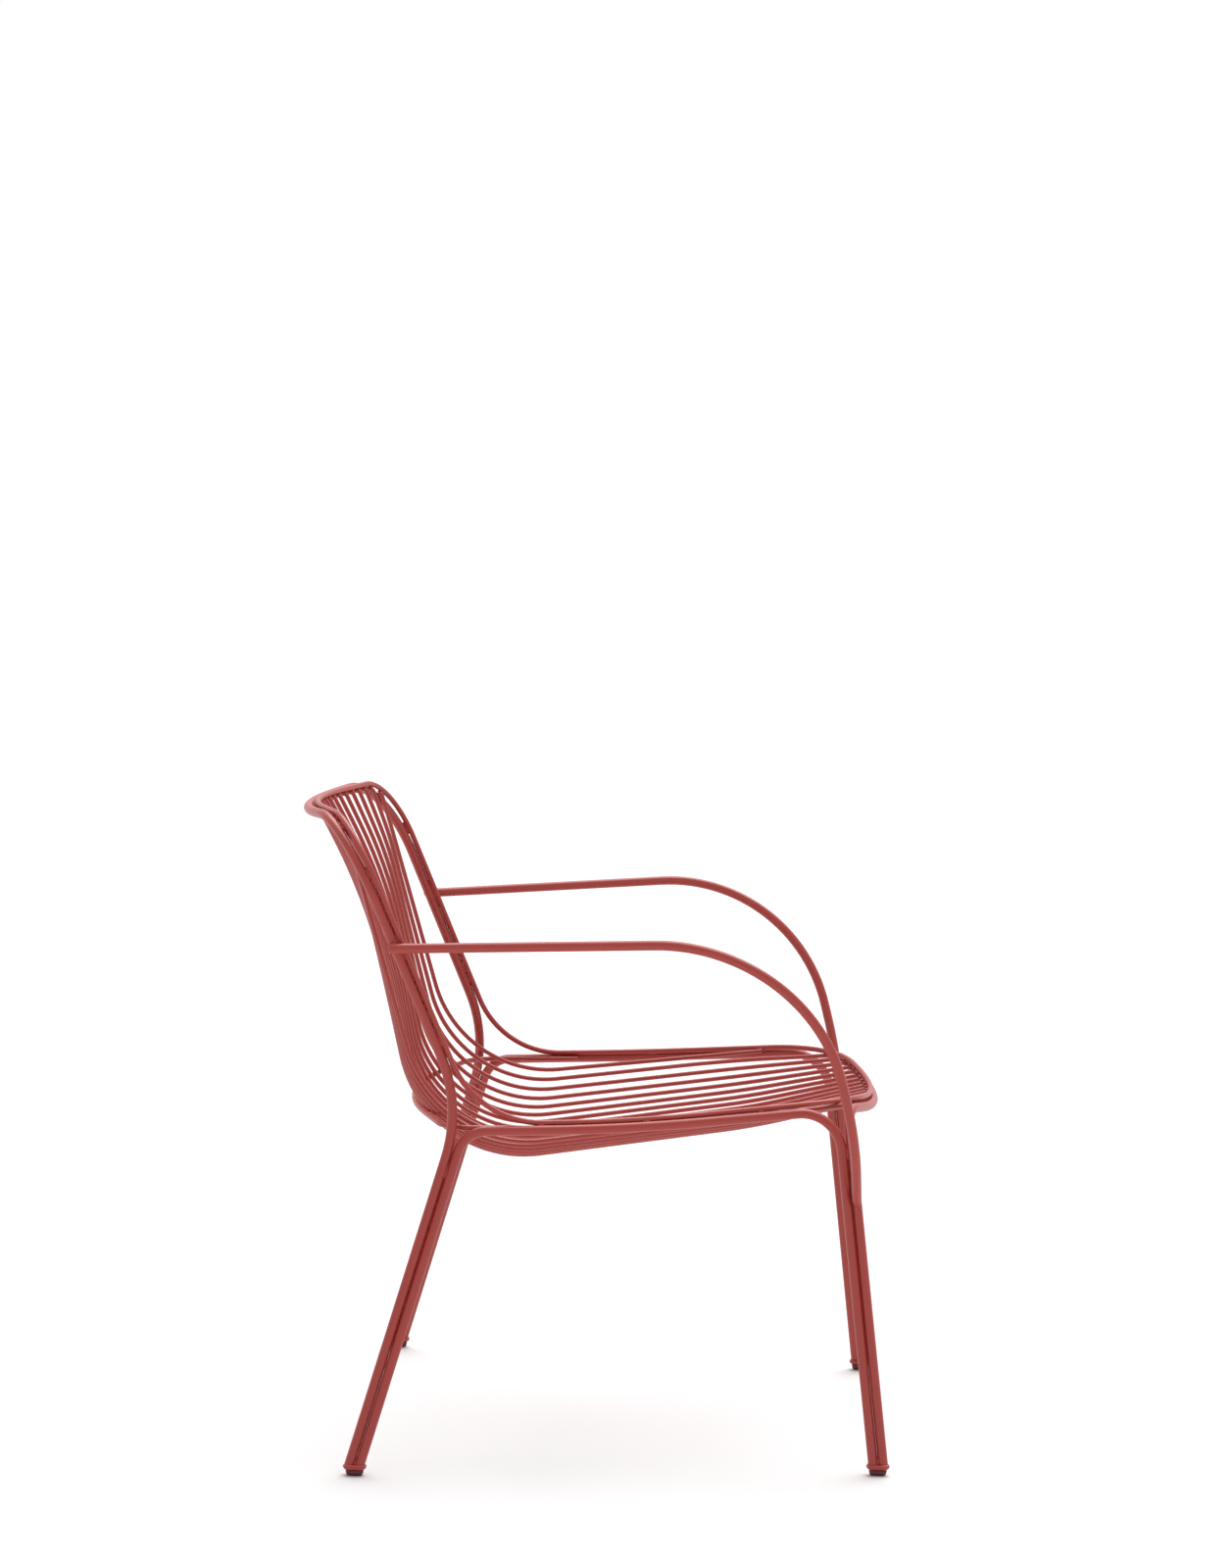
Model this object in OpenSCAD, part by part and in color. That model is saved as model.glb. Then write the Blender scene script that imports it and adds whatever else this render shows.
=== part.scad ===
// Garden armchair bent and welded from round steel rod. All sizes are in millimetres.
// X runs across the chair, its front faces -Y and Z points up from the floor.

/* [Rods] */
// Diameter of the rods of the hoops, side frames and armrests
frame_rod_d = 10.5; // [9.5:0.5:12]
// Diameter of the rim rod that runs round the seat shell
rim_rod_d = 6; // [5:0.5:7]
// Diameter of the wires of the seat shell
wire_d = 5; // [4:0.5:5.5]
// Diameter of the brace behind the lower back
brace_rod_d = 6; // [5:0.5:7]
// Gap that the weld fills between two rods
weld_gap = 0.1; // [0.05:0.05:0.2]

/* [Rear hoop] */
// Half the spread of the rear feet on the floor
rear_foot_x = 291; // [270:1:310]
// Distance of the rear hoop's feet behind the seat's middle
rear_foot_y = 285; // [270:1:300]
// Half the width between the knees
knee_x = 238; // [232:1:246]
// Distance of the knees behind the seat's middle
knee_y = 173; // [167:1:179]
// Height of the knees
knee_z = 386.5; // [378:0.5:395]
// Bend radius of the knees
knee_r = 155; // [110:5:180]
// Half the width at the top corners
crown_x = 251; // [244:1:258]
// Distance of the top corners behind the seat's middle
crown_y = 304.5; // [296:0.5:312]
// Height of the top corners
crown_z = 690; // [675:1:705]
// Bend radius of the top corners
crown_r = 98; // [80:1:105]
// Distance that the top rail's bend line lies behind its corners
crown_bow = 82; // [70:1:92]
// Drop of the top rail's bend line below its corners
crown_drop = 12.5; // [8:0.5:18]
// Bend radius of the top rail's middle
crown_mid_r = 470; // [400:5:500]

/* [Side frames] */
// Height of the side rail at its rear bend
rail_rear_z = 360; // [354:1:366]
// Bend radius at the rear of the side frame
rail_rear_r = 32; // [20:1:40]
// Half the width between the side rails at the seat's middle
rail_mid_x = 241.5; // [238:0.5:244]
// Height of the side rail at the seat's middle
rail_mid_z = 366.5; // [362:0.5:371]
// Radius of the bow of the side rail
rail_mid_r = 850; // [700:10:870]
// Height of the side rail at its front bend
rail_front_z = 385; // [380:1:390]
// Bend radius at the front of the side frame
rail_front_r = 44; // [30:1:50]

/* [Front hoop] */
// Half the spread of the front feet on the floor
front_foot_x = 235.5; // [220:0.5:250]
// Distance of the front hoop's feet ahead of the seat's middle
front_foot_y = 283; // [270:1:295]
// Half the width between the front hoop's corners
lip_x = 199; // [194:1:204]
// Distance of the front hoop's corners ahead of the seat's middle
lip_y = 236; // [230:1:242]
// Height of the front hoop's corners
lip_z = 382.5; // [378:0.5:387]
// Bend radius of the front hoop's corners
lip_r = 22; // [16:1:24]
// Distance from the corners to the second bend of the front lip
lip_shoulder = 31; // [28:1:36]
// Bend radius of the second bend of the front lip
lip_shoulder_r = 40; // [30:5:60]
// Distance that the lip's middle bend line lies ahead of its corners
lip_bow = 52; // [44:1:58]
// Drop of the lip's middle bend line below its corners
lip_drop = 23; // [16:1:28]
// Bend radius of the front lip's middle
lip_mid_r = 440; // [380:10:470]

/* [Rim] */
// Forward step of the rim from the top rail at the middle
rim_top_step = 18; // [16:0.5:21]
// Rise of the rim above the top rail at the middle
rim_top_rise = 9; // [8:0.5:12]
// Bend radius of the rim's top middle
rim_top_r = 400; // [350:5:420]
// Bend radius of the rim's top corners
rim_crown_r = 81; // [72:1:88]
// Bend radius of the rim between back and seat
rim_back_r = 102; // [85:1:110]
// Rise of the rim above the side rail at its rear bend
rim_back_rise = 8; // [7.5:0.25:9]
// Sideways step of the rim from the side rail
rim_rail_step = 5; // [4:0.5:6]
// Distance of the rim's front corners ahead of the rail's front bend
rim_front_reach = 10.5; // [8:0.5:13]
// Rise of the rim's front corners over the side rail's height
rim_front_rise = 2; // [1:0.25:3]
// Bend radius of the rim's front corners
rim_front_r = 120; // [100:5:130]
// Bend radius of the rim's front middle
rim_lip_r = 430; // [390:5:450]
// Backward step of the rim from the front lip at the middle
rim_lip_step = 6; // [4:0.5:9]
// Rise of the rim above the front lip at the middle
rim_lip_rise = 13; // [12:0.5:16]

/* [Armrests] */
// Height of the armrest at the back upright
arm_z = 555.5; // [545:0.5:565]
// Length of the armrest behind the upright's middle
arm_tail = 2; // [1:0.5:4]
// Half the width over the armrests' front bends
arm_x = 329.5; // [320:0.5:340]
// Distance of the armrest's front bend ahead of the seat's middle
arm_front_y = 186; // [176:1:196]
// Height of the armrest's front bend
arm_front_z = 579.5; // [570:0.5:590]
// Radius of the armrest's front bend
arm_front_r = 186; // [160:2:196]
// Half the width over the armrests' lower bends
arm_low_x = 272; // [266:1:278]
// Distance of the armrest's lower bend ahead of the seat's middle
arm_low_y = 241.5; // [236:0.5:247]
// Height of the armrest's lower bend
arm_low_z = 367; // [360:1:374]
// Radius of the armrest's lower bend
arm_low_r = 250; // [160:10:280]
// Height of the armrest's end on the front leg
arm_end_z = 292; // [284:1:298]

/* [Shell wires] */
// Half the spread of the wires at the top rail
wire_top_x = 211; // [202:1:212]
// Half the spread of the wires at the upper back
wire_back_x = 218; // [212:1:222]
// Half the spread of the wires at the lower back
wire_low_x = 226; // [220:1:228]
// Half the spread of the wires at the seat's front third
wire_seat_x = 217; // [210:1:220]
// Half the spread of the wires at the front lip
wire_lip_x = 190; // [184:1:193]
// Bulge of the upper back behind the uprights at the middle
back_bulge = 34; // [28:0.5:38]
// Bulge of the upper back behind the uprights at the outer wires
back_bulge_side = 8; // [5:0.5:12]
// Height of the upper back's bend at the middle
back_z = 561; // [545:1:575]
// Rise of the upper back's bend from the middle to the outer wires
back_rise = 79; // [70:1:85]
// Radius of the upper back's bend at the middle
back_r = 740; // [600:10:760]
// Radius of the upper back's bend at the outer wires
back_r_side = 280; // [200:10:320]
// Distance of the lower back's bend behind the knees at the middle
low_step = 52.5; // [50:0.5:56]
// Distance of the lower back's bend behind the knees at the outer wires
low_step_side = 29; // [27:0.5:32]
// Depth of the lower back's bend below the knees at the middle
low_drop = 105.5; // [100:0.5:109]
// Depth of the lower back's bend below the knees at the outer wires
low_drop_side = 47.5; // [44:0.5:52]
// Radius of the lower back's bend
low_r = 136; // [124:2:140]
// Depth of the seat below the front rail height at the middle
seat_dip = 45.5; // [38:0.5:50]
// Depth of the seat below the front rail height at the outer wires
seat_dip_side = 6; // [3:0.5:9]
// Distance of the seat's front bend behind the rail's front bend
seat_bend_y = 83; // [75:1:90]
// Further distance of that bend at the outer wires
seat_bend_side = 36; // [25:1:40]
// Radius of the seat's front bend
seat_r = 580; // [400:20:620]
// Bend radius of the wires' top ends at the middle
wire_end_r = 5; // [4.5:0.5:6]
// Bend radius of the wires' top ends at the outer wires
wire_end_r_side = 4; // [3:0.5:4.5]
// Further distance back of the wires' top bends at the middle
wire_top_back = 1.5; // [0.5:0.25:2]
// Distance of the outer wires' ends ahead of the seat's middle
side_end_y = 150; // [140:1:165]

/* [Brace] */
// Height of the brace behind the lower back
brace_z = 361.5; // [360:0.5:364]
// Half the width between the brace's corners
brace_corner_x = 232; // [231.5:0.25:232.5]
// Bend radius of the brace's corners
brace_corner_r = 44; // [36:1:48]
// Gap between the brace and the wires it is bent to follow
brace_gap = 0.8; // [0.8:0.1:1.2]
// Distance of the brace's ends behind the seat's middle
brace_end_y = 66; // [50:1:90]

/* [Feet] */
// Height of the underside of the foot plates above the floor
plate_z = 7; // [5:0.5:9]
// Thickness of the foot plates
plate_h = 5; // [3:0.5:6]
// Length of the foot plates along the chair
plate_l = 25; // [24:0.5:30]
// Width of the foot plates across the chair
plate_w = 16; // [13:0.5:20]
// Length of the glides along the chair
glide_l = 19.5; // [17:0.5:22]
// Width of the glides across the chair
glide_w = 11; // [9.5:0.5:12]
// Step of the glides' lower edge
glide_step = 1; // [0.5:0.25:1.5]
// Diameter of the peg that holds the glide in its plate
peg_d = 6; // [4:0.5:7]
// Length of that peg
peg_h = 3; // [2:0.5:3]
// Gap round that peg
peg_gap = 0.2; // [0.1:0.1:0.3]

/* [Hidden] */
$fn = 48;

wire_count = 23;
// Extra drop of the outer wires' top bends, where the rim slopes towards them.
wire_drop = 0.4;
// Extra gaps at a wire's front end, which meets the lip and the rim at a slant.
lip_slack = 0.3;
rim_slack = 0.2;
// A bend is drawn this much thicker than its straight runs, which reach into it by bend_lap.
bend_swell = 0.04;
bend_lap = 0.3;
arc_steps = 24;

frame_r = frame_rod_d / 2;
rim_r = rim_rod_d / 2;
wire_r = wire_d / 2;
brace_r = brace_rod_d / 2;
leg_end_z = plate_z + plate_h;

function unit(v) = v / norm(v);
function mirrored(p) = [-p[0], p[1], p[2]];
function sided(path, side) = [for (p = path) [side * p[0], p[1], p[2]]];
function at_z(a, b, z) = a + (b - a) * (z - a[2]) / (b[2] - a[2]);
function at_y(a, b, y) = a + (b - a) * (y - a[1]) / (b[1] - a[1]);
// Pitch along Y of two parallel rods of direction d that lie at distance s.
function pitch(d, s) = s / sqrt(1 - pow(d[1], 2));
function half_angle(a, b, c) = acos(unit(a - b) * unit(c - b)) / 2;
function trim(a, b, c, r) = r / tan(half_angle(a, b, c));

// Points along the arc of radius r that rounds corner b between a and c.
function arc(a, b, c, r) =
    let (
        u = unit(a - b),
        h = half_angle(a, b, c),
        centre = b + unit(u + unit(c - b)) * r / sin(h),
        ex = unit(b + u * r / tan(h) - centre)
    )
    [for (i = [0:arc_steps])
        let (t = (180 - 2 * h) * i / arc_steps) centre + r * (cos(t) * ex - sin(t) * u)];

// Right half of a rail that bends at its middle and its corner, as points with rising X.
function half_rail(middle, middle_r, corner, corner_r, after) =
    let (bow = arc(mirrored(corner), middle, corner, middle_r))
    concat([for (i = [arc_steps / 2:arc_steps]) bow[i]], arc(middle, corner, after, corner_r));
function on_rail(points, x) =
    [x, lookup(abs(x), [for (p = points) [p[0], p[1]]]),
        lookup(abs(x), [for (p = points) [p[0], p[2]]])];
function slope_at(points, x) = unit(on_rail(points, abs(x) + 1) - on_rail(points, abs(x) - 1));
// Distance along Y from a frame rail's middle line to the end of a wire that butts on it,
// where the wire lies this height above or below that line.
function butt(points, x, height) =
    let (
        t = slope_at(points, x),
        lean = abs(t[1]),
        over = max(0, abs(height) * norm([t[0], t[1]]) - wire_r)
    )
    (sqrt(pow(frame_r, 2) - pow(over, 2)) + weld_gap + wire_r * lean) / sqrt(1 - pow(lean, 2));
// Height between the rim's middle line and a wire that crosses under it.
function under_rim(points, x) =
    let (t = slope_at(points, x))
    (rim_r + wire_r + weld_gap) * norm(t) / norm([t[0], t[1]]);

rear_floor = [rear_foot_x, rear_foot_y, 0];
knee = [knee_x, knee_y, knee_z];
crown = [crown_x, crown_y, crown_z];
crown_mid = [0, crown_y + crown_bow, crown_z - crown_drop];
rear_leg_dir = unit(knee - rear_floor);
upright_dir = unit(crown - knee);
crown_rail = half_rail(crown_mid, crown_mid_r, crown, crown_r, knee);

front_floor = [front_foot_x, -front_foot_y, 0];
lip_corner = [lip_x, -lip_y, lip_z];
lip_mid = [0, -lip_y - lip_bow, lip_z - lip_drop];
lip_bend = lip_corner + unit([-lip_x, -lip_bow, 0]) * lip_shoulder;
front_leg_dir = unit(lip_corner - front_floor);
lip_rail = half_rail(lip_mid, lip_mid_r, lip_bend, lip_shoulder_r, lip_corner);
lip_points = concat(lip_rail, [lip_corner + unit(lip_bend - lip_corner) * lip_r]);

rear_step = [0, -pitch(rear_leg_dir, frame_rod_d + weld_gap), 0];
front_step = [0, pitch(front_leg_dir, frame_rod_d + weld_gap), 0];
rail_rear = at_z(rear_floor, knee, rail_rear_z) + rear_step;
rail_mid = [rail_mid_x, 0, rail_mid_z];
rail_front = at_z(front_floor, lip_corner, rail_front_z) + front_step;
rail_bow = arc(rail_rear, rail_mid, rail_front, rail_mid_r);

rim_seat = frame_r + rim_r + weld_gap;
rim_step = [0, -pitch(upright_dir, rim_seat), 0];
rim_on_rail = [-rim_rail_step, 0, sqrt(pow(rim_seat, 2) - pow(rim_rail_step, 2))];
rim_crown = crown + rim_step;
rim_crown_mid = crown_mid + [0, -rim_top_step, rim_top_rise];
rim_back = at_z(knee, crown, rail_rear_z + rim_back_rise) + rim_step;
rim_mid = rail_mid + rim_on_rail;
rim_front = rail_front + rim_on_rail + unit(rail_front - rail_mid) * rim_front_reach
    + [0, 0, rim_front_rise];
rim_lip_mid = lip_mid + [0, rim_lip_step, rim_lip_rise];
rim_top = half_rail(rim_crown_mid, rim_top_r, rim_crown, rim_crown_r, rim_back);
rim_lip = half_rail(rim_lip_mid, rim_lip_r, rim_front, rim_front_r, rim_mid);

// The armrest lies beside the upright, at right angles to both middle lines.
arm_joint_at = at_z(knee, crown, arm_z);
arm_bend = [arm_x, -arm_front_y, arm_front_z];
arm_out = unit(cross(upright_dir, unit(arm_bend - arm_joint_at)));
arm_joint = arm_joint_at + arm_out * (frame_rod_d + weld_gap) * sign(arm_out[0]);
arm_start = arm_joint + unit(arm_joint - arm_bend) * arm_tail;
arm_low = [arm_low_x, -arm_low_y, arm_low_z];
arm_leg_at = at_z(front_floor, lip_corner, arm_end_z);
arm_slant = acos(abs(unit(arm_low - arm_leg_at)[2]));
arm_end = arm_leg_at + [frame_r * (1 + cos(arm_slant)) + weld_gap, 0, 0];

// Bend points of the shell wire whose place across the shell is u, from -1 to 1.
function wire_path(u) =
    let (
        uu = pow(u, 2),
        top_x = wire_top_x * u,
        rim = on_rail(rim_top, top_x),
        hoop = on_rail(crown_rail, top_x),
        top = [top_x, rim[1] - wire_end_r / 2 + wire_top_back * (1 - uu),
            rim[2] - under_rim(rim_top, top_x) - wire_drop * uu],
        top_end = [top_x, hoop[1] - butt(crown_rail, top_x, top[2] - hoop[2]), top[2]],
        bulge_z = back_z + back_rise * uu,
        bulge = [wire_back_x * u, at_z(knee, crown, bulge_z)[1] + back_bulge
            + (back_bulge_side - back_bulge) * uu, bulge_z],
        low = [wire_low_x * u, knee_y + low_step + (low_step_side - low_step) * uu,
            knee_z - low_drop + (low_drop - low_drop_side) * uu],
        front = [wire_seat_x * u, rail_front[1] + seat_bend_y + seat_bend_side * uu,
            rail_front_z - seat_dip + (seat_dip - seat_dip_side) * uu],
        lip_x = wire_lip_x * u,
        lip = on_rail(lip_points, lip_x),
        under = on_rail(rim_lip, lip_x) - [0, 0, under_rim(rim_lip, lip_x) + rim_slack],
        way = unit(under - front),
        lip_end_y = lip[1] + butt(lip_points, lip_x, under[2] - lip[2]) + wire_r * way[2]
            + lip_slack,
        side = at_y(rim_mid, rim_front, -side_end_y),
        side_end = [sign(u) * (side[0] - (rim_r + wire_r + weld_gap) * 0.8), -side_end_y,
            side[2] - (rim_r + wire_r + weld_gap) * 0.6]
    )
    abs(u) == 1 ? [top_end, top, bulge, low, side_end]
        : [top_end, top, bulge, low, front, under + way * (lip_end_y - under[1]) / way[1]];

// The brace's middle follows the lower back through three points behind the wires, at its
// middle and at this share of the shell's half width on each side.
brace_span = 7 / 11;
function wire_bend(u) =
    let (p = wire_path(u)) arc(p[2], p[3], p[4], low_r);
function on_bend(bend, z) =
    [lookup(z, [for (p = bend) [p[2], p[0]]]), lookup(z, [for (p = bend) [p[2], p[1]]]), z];
function behind_wire(u) =
    let (
        bend = wire_bend(u),
        rise = on_bend(bend, brace_z + 1) - on_bend(bend, brace_z - 1)
    )
    on_bend(bend, brace_z)
        + [0, (brace_r + wire_r + brace_gap) * norm(rise) / norm([rise[0], rise[2]]), 0];
brace_apex_y = behind_wire(0)[1];
brace_touch = behind_wire(brace_span);
brace_sag = brace_apex_y - brace_touch[1];
brace_mid_r = (pow(brace_touch[0], 2) + pow(brace_sag, 2)) / (2 * brace_sag);
brace_slope = brace_touch[0] / (brace_mid_r - brace_sag);
brace_mid = [0, brace_touch[1] + brace_touch[0] * brace_slope, brace_z];
brace_corner = [brace_corner_x,
    brace_touch[1] - (brace_corner_x - brace_touch[0]) * brace_slope, brace_z];
brace_rail = [lookup(brace_end_y, [for (p = rail_bow) [p[1], p[0]]]), brace_end_y,
    lookup(brace_end_y, [for (p = rail_bow) [p[1], p[2]]])];
brace_end = brace_rail - [frame_r + brace_r + weld_gap, 0, 0];

// The model's origin is the middle of its footprint.
rear_reach = crown_rail[0][1] + frame_r;
front_reach = at_z(front_floor, lip_corner, leg_end_z)[1] + front_step[1] / 2 - plate_l / 2;
origin_y = (rear_reach + front_reach) / 2;

// One straight run of rod from a to b.
module run(a, b, d) {
    v = b - a;
    translate(a)
        rotate([0, acos(v[2] / norm(v)), atan2(v[1], v[0])])
            rotate([0, 0, 90])
                cylinder(h = norm(v), d = d);
}

// One bend of rod of radius r at corner b between a and c.
module bend(a, b, c, r, d) {
    u = unit(a - b);
    h = half_angle(a, b, c);
    centre = b + unit(u + unit(c - b)) * r / sin(h);
    ex = unit(b + u * r / tan(h) - centre);
    ez = cross(ex, -u);
    multmatrix([
        [ex[0], -u[0], ez[0], centre[0]],
        [ex[1], -u[1], ez[1], centre[1]],
        [ex[2], -u[2], ez[2], centre[2]],
        [0, 0, 0, 1]
    ])
        rotate_extrude(angle = 180 - 2 * h)
            translate([r, 0])
                circle(d = d + bend_swell);
}

// A rod through the corners of path, each rounded by its radius in radii.
module rod(path, radii, d) {
    last = len(path) - 1;
    cuts = [for (i = [0:last])
        i == 0 || i == last ? 0 : trim(path[i - 1], path[i], path[i + 1], radii[i]) - bend_lap];
    union() {
        for (i = [0:last - 1]) {
            w = unit(path[i + 1] - path[i]);
            run(path[i] + w * cuts[i], path[i + 1] - w * cuts[i + 1], d);
        }
        for (i = [1:last - 1])
            bend(path[i - 1], path[i], path[i + 1], radii[i], d);
    }
}

// Cuts the legs level on their foot plates.
module on_plates() {
    difference() {
        children();
        translate([-rear_foot_x - plate_l, -front_foot_y - plate_l, -plate_h])
            cube([2 * (rear_foot_x + plate_l), rear_foot_y + front_foot_y + 2 * plate_l,
                leg_end_z + plate_h]);
    }
}

module rear_hoop() {
    color("firebrick")
        on_plates()
            rod([rear_floor, knee, crown, crown_mid, mirrored(crown), mirrored(knee),
                mirrored(rear_floor)],
                [0, knee_r, crown_r, crown_mid_r, crown_r, knee_r, 0], frame_rod_d);
}

module front_hoop() {
    color("indianred")
        on_plates()
            rod([front_floor, lip_corner, lip_bend, lip_mid, mirrored(lip_bend),
                mirrored(lip_corner), mirrored(front_floor)],
                [0, lip_r, lip_shoulder_r, lip_mid_r, lip_shoulder_r, lip_r, 0], frame_rod_d);
}

module side_frame(side) {
    color("brown")
        on_plates()
            rod(sided([rear_floor + rear_step, rail_rear, rail_mid, rail_front,
                front_floor + front_step], side),
                [0, rail_rear_r, rail_mid_r, rail_front_r, 0], frame_rod_d);
}

module armrest(side) {
    color("darkred")
        rod(sided([arm_start, arm_bend, arm_low, arm_end], side),
            [0, arm_front_r, arm_low_r, 0], frame_rod_d);
}

// The rim is one closed loop. It starts and ends on the straight beside an upright.
module shell_rim() {
    start = (rim_back + rim_crown) / 2;
    side_r = rail_mid_r - rim_rail_step;
    color("salmon")
        rod([start, rim_crown, rim_crown_mid, mirrored(rim_crown), mirrored(rim_back),
            mirrored(rim_mid), mirrored(rim_front), rim_lip_mid, rim_front, rim_mid, rim_back,
            start],
            [0, rim_crown_r, rim_top_r, rim_crown_r, rim_back_r, side_r, rim_front_r, rim_lip_r,
            rim_front_r, side_r, rim_back_r, 0], rim_rod_d);
}

module lower_back_brace() {
    color("tomato")
        rod([brace_end, brace_corner, brace_mid, mirrored(brace_corner), mirrored(brace_end)],
            [0, brace_corner_r, brace_mid_r, brace_corner_r, 0], brace_rod_d);
}

// Wire i of the shell, counted from the right.
module shell_wire(i) {
    u = 2 * (i - 1) / (wire_count - 1) - 1;
    end_r = wire_end_r + (wire_end_r_side - wire_end_r) * pow(u, 2);
    upper_r = back_r + (back_r_side - back_r) * pow(u, 2);
    color("lightcoral")
        rod(wire_path(u), [0, end_r, upper_r, low_r, seat_r, 0], wire_d);
}

// Outline with round ends, length along Y.
module oval(l, w) {
    translate([-w / 2, -(l - w) / 2])
        square([w, l - w]);
    for (s = [-1, 1])
        translate([0, s * (l - w) / 2])
            circle(d = w);
}

function foot_at(floor_point, top_point, step, side) =
    let (p = at_z(floor_point, top_point, leg_end_z) + step / 2) [side * p[0], p[1], 0];

module foot_plate(at) {
    color("maroon")
        translate(at + [0, 0, plate_z])
            difference() {
                linear_extrude(plate_h) oval(plate_l, plate_w);
                translate([0, 0, -1])
                    cylinder(h = peg_h + 1 + peg_gap, d = peg_d + 2 * peg_gap);
            }
}

module glide(at) {
    color("dimgray")
        translate(at) {
            linear_extrude(glide_step) oval(glide_l - 2 * glide_step, glide_w - 2 * glide_step);
            translate([0, 0, glide_step])
                linear_extrude(plate_z - glide_step) oval(glide_l, glide_w);
            translate([0, 0, plate_z - 1])
                cylinder(h = peg_h + 1, d = peg_d);
        }
}

rear_right = foot_at(rear_floor, knee, rear_step, -1);
rear_left = foot_at(rear_floor, knee, rear_step, 1);
front_right = foot_at(front_floor, lip_corner, front_step, -1);
front_left = foot_at(front_floor, lip_corner, front_step, 1);

translate([0, -origin_y, 0]) {
    rear_hoop();
    front_hoop();
    side_frame(-1);  // side_frame_right
    side_frame(1);  // side_frame_left
    armrest(-1);  // armrest_right
    armrest(1);  // armrest_left
    shell_rim();
    lower_back_brace();
    foot_plate(rear_right);  // foot_plate_rear_right
    foot_plate(rear_left);  // foot_plate_rear_left
    foot_plate(front_right);  // foot_plate_front_right
    foot_plate(front_left);  // foot_plate_front_left
    glide(rear_right);  // glide_rear_right
    glide(rear_left);  // glide_rear_left
    glide(front_right);  // glide_front_right
    glide(front_left);  // glide_front_left
    shell_wire(1);  // shell_wire_01
    shell_wire(2);  // shell_wire_02
    shell_wire(3);  // shell_wire_03
    shell_wire(4);  // shell_wire_04
    shell_wire(5);  // shell_wire_05
    shell_wire(6);  // shell_wire_06
    shell_wire(7);  // shell_wire_07
    shell_wire(8);  // shell_wire_08
    shell_wire(9);  // shell_wire_09
    shell_wire(10);  // shell_wire_10
    shell_wire(11);  // shell_wire_11
    shell_wire(12);  // shell_wire_12
    shell_wire(13);  // shell_wire_13
    shell_wire(14);  // shell_wire_14
    shell_wire(15);  // shell_wire_15
    shell_wire(16);  // shell_wire_16
    shell_wire(17);  // shell_wire_17
    shell_wire(18);  // shell_wire_18
    shell_wire(19);  // shell_wire_19
    shell_wire(20);  // shell_wire_20
    shell_wire(21);  // shell_wire_21
    shell_wire(22);  // shell_wire_22
    shell_wire(23);  // shell_wire_23
}
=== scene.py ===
import math
import bmesh
import bpy
from mathutils import Matrix, Vector, noise
from mathutils.bvhtree import BVHTree


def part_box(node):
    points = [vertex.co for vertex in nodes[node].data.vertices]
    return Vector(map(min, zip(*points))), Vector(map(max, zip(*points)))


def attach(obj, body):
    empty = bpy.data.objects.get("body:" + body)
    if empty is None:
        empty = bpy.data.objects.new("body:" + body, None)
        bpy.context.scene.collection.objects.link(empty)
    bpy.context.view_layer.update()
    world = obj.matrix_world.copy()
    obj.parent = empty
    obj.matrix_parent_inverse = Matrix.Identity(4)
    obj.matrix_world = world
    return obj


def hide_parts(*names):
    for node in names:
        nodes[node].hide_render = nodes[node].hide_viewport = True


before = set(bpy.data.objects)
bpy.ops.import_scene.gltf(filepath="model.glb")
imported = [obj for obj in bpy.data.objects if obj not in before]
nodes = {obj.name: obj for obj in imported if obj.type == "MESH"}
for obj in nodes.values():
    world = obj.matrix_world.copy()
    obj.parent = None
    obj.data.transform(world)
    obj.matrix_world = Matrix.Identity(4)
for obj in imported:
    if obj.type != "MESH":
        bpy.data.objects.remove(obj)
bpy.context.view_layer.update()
print("frame loaded:", len(nodes), "nodes")

sideways = Vector((1, 0, 0))
forward = Vector((0, -1, 0))
upward = Vector((0, 0, 1))


# Linear colour of an sRGB hex value.
def linearOf(hexColour):
    channels = [int(hexColour[i : i + 2], 16) / 255 for i in (1, 3, 5)]
    linear = [c / 12.92 if c <= 0.04045 else ((c + 0.055) / 1.055) ** 2.4 for c in channels]
    return (*linear, 1.0)


# Adds a node. Each input is given a value, or another node's output to link to.
def addNode(tree, kind, inputs=None, **settings):
    node = tree.nodes.new(kind)
    for name, value in settings.items():
        setattr(node, name, value)
    for socket, value in (inputs or {}).items():
        if isinstance(value, bpy.types.NodeSocket):
            tree.links.new(value, node.inputs[socket])
        else:
            node.inputs[socket].default_value = value
    return node


# Scale of a pattern whose spots are about this many millimetres apart.
def scaleFromMm(spacing):
    return 1000 / spacing


def spotInputs(place, spacing, detail):
    return {"Vector": place, "Scale": scaleFromMm(spacing), "Detail": detail}


def startMaterial(name):
    material = bpy.data.materials.new(name)
    material.use_nodes = True
    tree = material.node_tree
    place = addNode(tree, "ShaderNodeTexCoord").outputs["Object"]
    return material, tree, tree.nodes["Principled BSDF"], place


# Gives the shader a colour that drifts between shade and base, and a fine grain as bump.
def addSurface(tree, shader, drift, grain, settings):
    tintInputs = {
        "Factor": drift,
        "A": linearOf(settings["shade"]),
        "B": linearOf(settings["base"]),
    }
    tint = addNode(tree, "ShaderNodeMix", tintInputs, data_type="RGBA")
    bumpInputs = {
        "Strength": settings["bumpStrength"],
        "Distance": settings["bumpMm"] / 1000,
        "Height": grain,
    }
    bump = addNode(tree, "ShaderNodeBump", bumpInputs)
    tree.links.new(tint.outputs["Result"], shader.inputs["Base Color"])
    tree.links.new(bump.outputs["Normal"], shader.inputs["Normal"])


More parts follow.
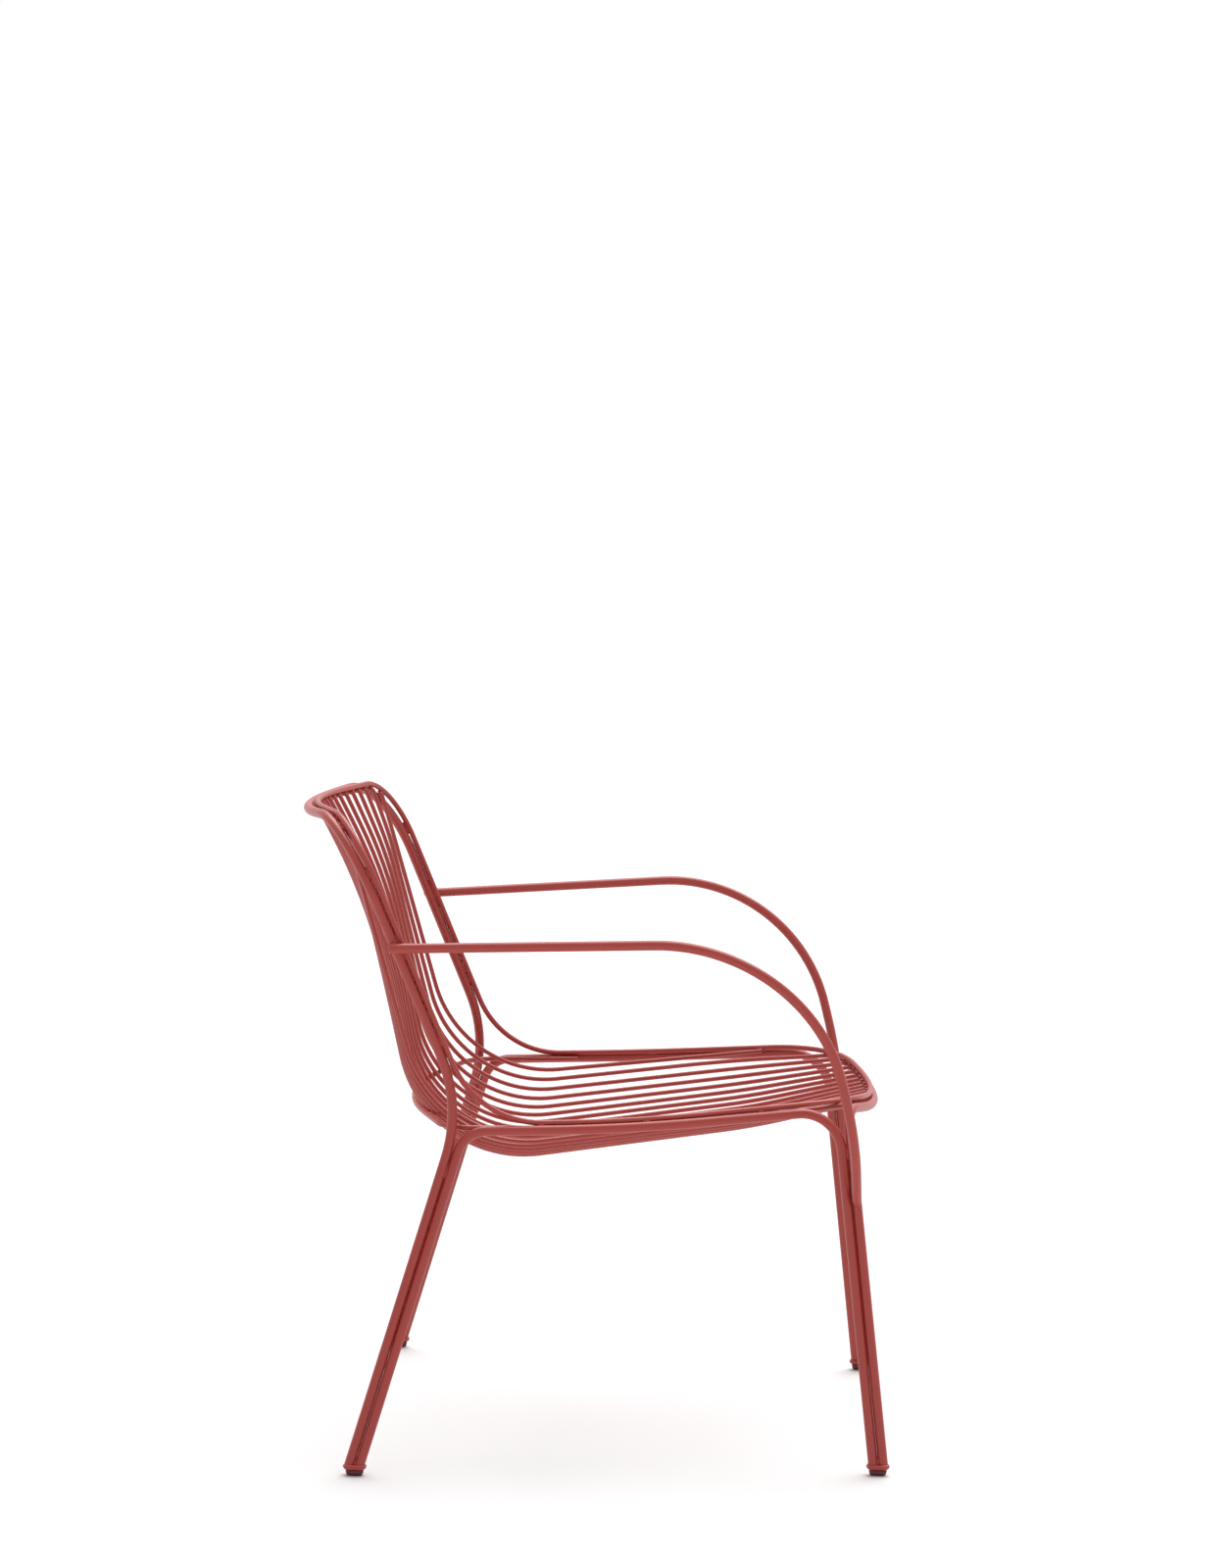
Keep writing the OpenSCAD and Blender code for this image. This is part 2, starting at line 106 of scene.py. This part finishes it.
# Powder coat: a thick semi-matt skin with fine orange peel. The grain breaks up the highlight,
# and the slow mottling keeps long rods from looking like one flat colour.
powderSettings = {
    "base": "#a53229",
    "shade": "#9c2f26",
    "grainMm": 0.9,
    "grainDetail": 2.0,
    "mottleMm": 35,
    "mottleDetail": 3.0,
    "bumpMm": 0.02,
    "bumpStrength": 0.35,
    "roughness": (0.32, 0.42),
    "specular": 0.55,
}


def makePowderCoat(name, settings):
    material, tree, shader, place = startMaterial(name)
    shader.inputs["Specular IOR Level"].default_value = settings["specular"]
    spots = spotInputs(place, settings["mottleMm"], settings["mottleDetail"])
    mottle = addNode(tree, "ShaderNodeTexNoise", spots).outputs["Fac"]
    spots = spotInputs(place, settings["grainMm"], settings["grainDetail"])
    grain = addNode(tree, "ShaderNodeTexNoise", spots).outputs["Fac"]
    addSurface(tree, shader, mottle, grain, settings)
    least, most = settings["roughness"]
    gloss = addNode(tree, "ShaderNodeMapRange", {"Value": grain, "To Min": least, "To Max": most})
    tree.links.new(gloss.outputs["Result"], shader.inputs["Roughness"])
    return material


# Moulded polypropylene: darker and duller than the coat. Its spark-eroded grain is drawn
# coarser than the real one, so that it shows.
glideSettings = {
    "base": "#5e2220",
    "shade": "#4f1b1a",
    "grainMm": 0.5,
    "grainDetail": 2.0,
    "bumpMm": 0.03,
    "bumpStrength": 0.4,
    "roughness": 0.55,
}


def makeGlidePlastic(name, settings):
    material, tree, shader, place = startMaterial(name)
    shader.inputs["Roughness"].default_value = settings["roughness"]
    spots = spotInputs(place, settings["grainMm"], settings["grainDetail"])
    grain = addNode(tree, "ShaderNodeTexNoise", spots).outputs["Fac"]
    addSurface(tree, shader, grain, grain, settings)
    return material


powderCoat = makePowderCoat("powderCoatedSteel", powderSettings)
glidePlastic = makeGlidePlastic("mouldedPolypropylene", glideSettings)
print("materials made")

for name, node in nodes.items():
    isGlide = name.startswith("glide")
    node.data.materials.clear()
    node.data.materials.append(glidePlastic if isGlide else powderCoat)
print("rods dressed")


def finishMesh(name, mesh, material):
    bmesh.ops.recalc_face_normals(mesh, faces=mesh.faces)
    data = bpy.data.meshes.new(name)
    mesh.to_mesh(data)
    mesh.free()
    data.shade_smooth()
    piece = bpy.data.objects.new(name, data)
    bpy.context.scene.collection.objects.link(piece)
    data.materials.append(material)
    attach(piece, "root")
    return piece


# The foot plates and glides are drawn again with the rounded rims and the taper that the CAD
# leaves out. Each section is a height in mm and how far the oval is drawn in there.
plateSettings = {
    "sections": ((0.0, 1.5), (0.5, 0.9), (2.2, 0.0), (3.0, 0.0), (4.4, 0.7), (5.0, 1.6)),
    "endSteps": 32,
}
padSettings = {
    "sections": ((0.0, 3.0), (0.35, 2.0), (1.2, 1.1), (3.0, 0.5), (7.0, 0.0)),
    "endSteps": 32,
}
mergeReach = 1e-6  # metres


# Turns an open line of edges half round a round end of the oval, then draws it along the
# straight side to where the other end starts.
def drawHalfOval(mesh, line, middle, toOtherEnd, steps):
    turned = bmesh.ops.spin(
        mesh, geom=line, cent=middle, axis=upward, angle=math.pi, steps=steps
    )["geom_last"]
    edges = [part for part in turned if isinstance(part, bmesh.types.BMEdge)]
    drawn = bmesh.ops.extrude_edge_only(mesh, edges=edges)["geom"]
    verts = [part for part in drawn if isinstance(part, bmesh.types.BMVert)]
    bmesh.ops.translate(mesh, verts=verts, vec=toOtherEnd)
    return [part for part in drawn if not isinstance(part, bmesh.types.BMFace)]


def makeOval(name, nodeName, settings, material):
    low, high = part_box(nodeName)
    centre = (low + high) / 2
    radius = (high.x - low.x) / 2
    halfStraight = Vector((0, (high.y - low.y) / 2 - radius, 0))
    mesh = bmesh.new()
    profile = []
    for height, inset in settings["sections"]:
        place = centre + halfStraight + sideways * (radius - inset / 1000)
        profile.append(mesh.verts.new((place.x, place.y, low.z + height / 1000)))
    line = profile + [mesh.edges.new(pair) for pair in zip(profile, profile[1:])]
    for way in (1, -1):
        middle = centre + halfStraight * way
        toOtherEnd = halfStraight * (-2 * way)
        line = drawHalfOval(mesh, line, middle, toOtherEnd, settings["endSteps"])
    bmesh.ops.remove_doubles(mesh, verts=mesh.verts, dist=mergeReach)
    bmesh.ops.holes_fill(mesh, edges=mesh.edges)
    piece = finishMesh(name, mesh, material)
    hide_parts(nodeName)


for corner in ("rear_right", "rear_left", "front_right", "front_left"):
    makeOval("footPlate_" + corner, "foot_plate_" + corner, plateSettings, powderCoat)
    makeOval("glide_" + corner + "_pad", "glide_" + corner, padSettings, glidePlastic)
print("feet drawn")

# Weld beads. Each is a slightly lumpy ellipsoid where two rods come closest, found from their
# meshes. Its half sizes in mm run along the rod, across it and through the gap.
beadSettings = {
    "lumpMm": 0.12,
    "lumpPitchMm": 2.2,
    "rings": 10,
    "segments": 20,
    "searchRounds": 40,
    "grooveReach": 0.004,  # metres ahead of and behind a stitch, to find the groove's way
    "sameDecimals": 5,  # corners whose metres agree to this place count as one
}
trees = {}


def treeOf(nodeName):
    if nodeName not in trees:
        data = nodes[nodeName].data
        corners = [v.co.copy() for v in data.vertices]
        faces = [tuple(p.vertices) for p in data.polygons]
        trees[nodeName] = BVHTree.FromPolygons(corners, faces)
    return trees[nodeName]


def closestPair(first, second, seed):
    p = treeOf(first).find_nearest(Vector(seed))[0]
    for _ in range(beadSettings["searchRounds"]):
        q = treeOf(second).find_nearest(p)[0]
        p = treeOf(first).find_nearest(q)[0]
    return p, q


def addBead(mesh, centre, along, across, sizes):
    along = along.normalized()
    through = along.cross(across).normalized()
    across = through.cross(along).normalized()
    turn = Matrix((along, across, through)).transposed()
    rings, segments = beadSettings["rings"], beadSettings["segments"]
    made = bmesh.ops.create_uvsphere(mesh, u_segments=segments, v_segments=rings, radius=1.0)
    lump = beadSettings["lumpMm"] / 1000
    for vertex in made["verts"]:
        local = Vector([value * size / 1000 for value, size in zip(vertex.co, sizes)])
        place = centre + turn @ local
        shift = noise.noise(place * scaleFromMm(beadSettings["lumpPitchMm"]))
        vertex.co = place + (turn @ vertex.co.normalized()) * lump * shift


def joinAt(mesh, first, second, seed, along, across, sizes):
    p, q = closestPair(first, second, seed)
    addBead(mesh, (p + q) / 2, along, across, sizes)


# A bead in the groove between two rods that run side by side, roughly along the given way.
def stitch(mesh, first, second, seed, along, sizes):
    reach = beadSettings["grooveReach"]
    along = Vector(along).normalized()
    p, q = closestPair(first, second, seed)
    centre = (p + q) / 2
    ahead = closestPair(first, second, centre + along * reach)
    behind = closestPair(first, second, centre - along * reach)
    groove = (ahead[0] + ahead[1] - behind[0] - behind[1]) / 2
    if groove.length > reach:
        along = groove.normalized()
    gap = treeOf(second).find_nearest(centre)[1]
    addBead(mesh, centre, along, gap.cross(along), sizes)


# Middle of a rod's cut end: the corners that lie within this depth of the farthest one. The
# frame's meshes are loose triangles, so each corner comes several times and is counted once.
def endRing(nodeName, way, depth):
    points = [v.co for v in nodes[nodeName].data.vertices]
    reach = max(p.dot(way) for p in points)
    near = [p for p in points if reach - p.dot(way) < depth]
    unique = {tuple(round(c, beadSettings["sameDecimals"]) for c in p): p for p in near}
    return sum(unique.values(), Vector()) / len(unique)


# The wires' welds. Depths and shifts are in metres: a shift leads from a wire's end to where
# the search for the rim starts. A wire is welded to the brace where it passes within reach.
wireSettings = {
    "top": (3.1, 3.1, 1.3),
    "topDepth": 0.0004,
    "underRim": (3.2, 2.4, 1.0),
    "topToRim": (0, -0.008, 0.006),
    "lip": (3.1, 3.1, 1.4),
    "lipDepth": 0.0014,
    "lipToRim": (0, 0, 0.005),
    "sideEnd": (5.0, 1.4, 2.6),
    "brace": (2.6, 3.0, 1.3),
    "braceReachMm": 1.6,
    "braceBandMm": 12,
}
wires = sorted(name for name in nodes if name.startswith("shell_wire"))
topBeads = bmesh.new()
rimBeads = bmesh.new()
lipBeads = bmesh.new()
braceBeads = bmesh.new()
braceLow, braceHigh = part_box("lower_back_brace")
braceHeight = (braceLow.z + braceHigh.z) / 2
for wire in wires:
    end = endRing(wire, -forward, wireSettings["topDepth"])
    addBead(topBeads, end, sideways, upward, wireSettings["top"])
    seed = end + Vector(wireSettings["topToRim"])
    joinAt(rimBeads, wire, "shell_rim", seed, forward, sideways, wireSettings["underRim"])
    front = endRing(wire, forward, wireSettings["lipDepth"])
    if wire in (wires[0], wires[-1]):
        joinAt(rimBeads, wire, "shell_rim", front, forward, sideways, wireSettings["sideEnd"])
        continue
    addBead(lipBeads, front, sideways, upward, wireSettings["lip"])
    seed = front + Vector(wireSettings["lipToRim"])
    joinAt(rimBeads, wire, "shell_rim", seed, forward, sideways, wireSettings["underRim"])
    band = wireSettings["braceBandMm"] / 1000
    beside = [v.co for v in nodes[wire].data.vertices if abs(v.co.z - braceHeight) < band]
    seed = max(beside, key=lambda c: c.y)
    p, q = closestPair(wire, "lower_back_brace", seed)
    if (p - q).length < wireSettings["braceReachMm"] / 1000:
        addBead(braceBeads, (p + q) / 2, sideways, upward, wireSettings["brace"])
finishMesh("weldBeads_top_rail", topBeads, powderCoat)
finishMesh("weldBeads_front_lip", lipBeads, powderCoat)
finishMesh("weldBeads_rim", rimBeads, powderCoat)
finishMesh("weldBeads_brace", braceBeads, powderCoat)
print("wire welds drawn")

# Welds of the frame, for the chair's left side, in metres from its origin. A leg's or an
# upright's row runs through a point in a direction, and gives each stitch's height, the
# stitch's half length in mm and its other two half sizes. The rail's row gives places along Y.
frameSettings = {
    "rearLeg": {
        "first": "rear_hoop",
        "from": (0.2896, 0.2455, 0),
        "way": (-0.053, -0.112, 0.3865),
        "at": ((0.014, 6.0), (0.318, 9.0)),
        "size": (3.8, 2.2),
    },
    "frontLeg": {
        "first": "front_hoop",
        "from": (0.2355, -0.3171, 0),
        "way": (-0.0365, 0.047, 0.3825),
        "at": ((0.014, 6.0), (0.34, 9.0)),
        "size": (3.8, 2.2),
    },
    "upright": {
        "from": (0.241, 0.158, 0.455),
        "way": (0.013, 0.1315, 0.3035),
        "at": ((0.455, 8.0), (0.5545, 17.0), (0.635, 8.0)),
        "size": (2.9, 1.8),
    },
    "rail": {"from": (0.236, 0, 0.375), "at": (-0.188, -0.062, 0.05), "size": (5.0, 2.6, 1.5)},
    "braceEnd": {"from": (0.236, 0.03, 0.366), "size": (6.0, 3.0, 1.8)},
    "armTop": (5.0, 4.8, 2.4),
    "armTopDepth": 0.003,
    "armEnd": (9.0, 3.6, 2.2),
    "armEndDepth": 0.006,
    "armPatch": (4.4, 3.6, 3.8),
    "armPatchShift": (-0.0045, 0, -0.0035),
}


def onSide(point, sign):
    return Vector((point[0] * sign, point[1], point[2]))


def stitchRow(mesh, first, second, row, sign):
    way = onSide(row["way"], sign)
    start = onSide(row["from"], sign)
    for height, length in row["at"]:
        seed = start + way * ((height - start.z) / way.z)
        stitch(mesh, first, second, seed, way, (length, *row["size"]))


frameBeads = bmesh.new()
for side, sign in (("right", -1), ("left", 1)):
    frameNode = "side_frame_" + side
    armNode = "armrest_" + side
    for row in (frameSettings["rearLeg"], frameSettings["frontLeg"]):
        stitchRow(frameBeads, row["first"], frameNode, row, sign)
    stitchRow(frameBeads, "shell_rim", "rear_hoop", frameSettings["upright"], sign)
    upright = onSide(frameSettings["upright"]["way"], sign)
    armTop = endRing(armNode, -forward, frameSettings["armTopDepth"])
    stitch(frameBeads, armNode, "rear_hoop", armTop, upright, frameSettings["armTop"])
    frontLeg = onSide(frameSettings["frontLeg"]["way"], sign)
    armEnd = endRing(armNode, -upward, frameSettings["armEndDepth"])
    stitch(frameBeads, armNode, "front_hoop", armEnd, frontLeg, frameSettings["armEnd"])
    patch = armEnd + onSide(frameSettings["armPatchShift"], sign)
    addBead(frameBeads, patch, forward, upward, frameSettings["armPatch"])
    rail = frameSettings["rail"]
    for y in rail["at"]:
        seed = onSide(rail["from"], sign) - forward * y
        stitch(frameBeads, "shell_rim", frameNode, seed, forward, rail["size"])
    end = frameSettings["braceEnd"]
    seed = onSide(end["from"], sign)
    stitch(frameBeads, "lower_back_brace", frameNode, seed, forward, end["size"])
finishMesh("weldBeads_frame", frameBeads, powderCoat)
print("frame welds drawn")

# Studio: a pale floor without an edge in sight, a white surround and a broad soft light from
# overhead.
studioSettings = {
    "floorHalf": 60.0,  # metres
    "floorColour": "#e9e9e9",
    "floorDrift": "#ebebeb",
    "floorDriftMm": 900,
    "floorDriftDetail": 1.0,
    "floorRoughness": 0.9,
    "surround": 0.52,
    "seenWhite": 1.0,
    "overhead": {"from": (0.45, -0.15, 1.0), "angle": 60, "strength": 3.3},  # degrees
}
scene = bpy.context.scene
scene.view_settings.view_transform = "Standard"


def makeFloor(settings):
    mesh = bmesh.new()
    bmesh.ops.create_grid(mesh, x_segments=1, y_segments=1, size=settings["floorHalf"])
    data = bpy.data.meshes.new("floor")
    mesh.to_mesh(data)
    mesh.free()
    floor = bpy.data.objects.new("floor", data)
    scene.collection.objects.link(floor)
    material, tree, shader, place = startMaterial("paleStudioFloor")
    shader.inputs["Roughness"].default_value = settings["floorRoughness"]
    shader.inputs["Specular IOR Level"].default_value = 0.0
    spots = spotInputs(place, settings["floorDriftMm"], settings["floorDriftDetail"])
    tintInputs = {
        "Factor": addNode(tree, "ShaderNodeTexNoise", spots).outputs["Fac"],
        "A": linearOf(settings["floorColour"]),
        "B": linearOf(settings["floorDrift"]),
    }
    tint = addNode(tree, "ShaderNodeMix", tintInputs, data_type="RGBA")
    tree.links.new(tint.outputs["Result"], shader.inputs["Base Color"])
    data.materials.append(material)


# The surround lights the chair at one strength, and is seen as plain white, directly, in a
# gloss or through glass.
def makeSurround(settings):
    world = bpy.data.worlds.new("softSurround")
    scene.world = world
    world.use_nodes = True
    tree = world.node_tree
    plainWhite = (1.0, 1.0, 1.0, 1.0)
    light = tree.nodes["Background"]
    light.inputs["Color"].default_value = plainWhite
    light.inputs["Strength"].default_value = settings["surround"]
    backdropInputs = {"Color": plainWhite, "Strength": settings["seenWhite"]}
    backdrop = addNode(tree, "ShaderNodeBackground", backdropInputs)
    path = addNode(tree, "ShaderNodeLightPath")
    seen = path.outputs["Is Camera Ray"]
    for kind in ("Is Glossy Ray", "Is Transmission Ray"):
        either = {0: seen, 1: path.outputs[kind]}
        seen = addNode(tree, "ShaderNodeMath", either, operation="MAXIMUM").outputs["Value"]
    mixInputs = {0: seen, 1: light.outputs["Background"], 2: backdrop.outputs["Background"]}
    mix = addNode(tree, "ShaderNodeMixShader", mixInputs)
    tree.links.new(mix.outputs["Shader"], tree.nodes["World Output"].inputs["Surface"])


def makeLight(name, settings):
    data = bpy.data.lights.new(name, "SUN")
    data.angle = math.radians(settings["angle"])
    data.energy = settings["strength"]
    lamp = bpy.data.objects.new(name, data)
    scene.collection.objects.link(lamp)
    lamp.location = settings["from"]
    lamp.rotation_euler = (-Vector(settings["from"])).to_track_quat("-Z", "Y").to_euler()


makeFloor(studioSettings)
makeSurround(studioSettings)
makeLight("overheadLight", studioSettings["overhead"])
print("studio made")

# The camera stands beside the chair's right side, a little above it, as in the photograph.
# Its place is in metres, its three turns in radians and its lens and sensor in mm.
cameraSettings = {
    "place": (-4.1655, -0.10783, 1.07),
    "yaw": 0.0219,
    "pitch": 0.0860,
    "roll": 0.0210,
    "lens": 86.44,
    "sensor": 36,
    "far": 100,
}


def makeCamera(settings):
    yaw, pitch, roll = settings["yaw"], settings["pitch"], settings["roll"]
    ahead = math.cos(pitch)
    look = Vector((math.cos(yaw) * ahead, math.sin(yaw) * ahead, -math.sin(pitch)))
    level = Vector((math.sin(yaw), -math.cos(yaw), 0))
    upright = level.cross(look)
    right = level * math.cos(roll) + upright * math.sin(roll)
    up = upright * math.cos(roll) - level * math.sin(roll)
    data = bpy.data.cameras.new("photoCamera")
    data.sensor_width = settings["sensor"]
    data.lens = settings["lens"]
    data.clip_end = settings["far"]
    camera = bpy.data.objects.new("photoCamera", data)
    scene.collection.objects.link(camera)
    turn = Matrix((right, up, -look)).transposed().to_4x4()
    camera.matrix_world = Matrix.Translation(settings["place"]) @ turn
    scene.camera = camera


makeCamera(cameraSettings)
print("camera placed")
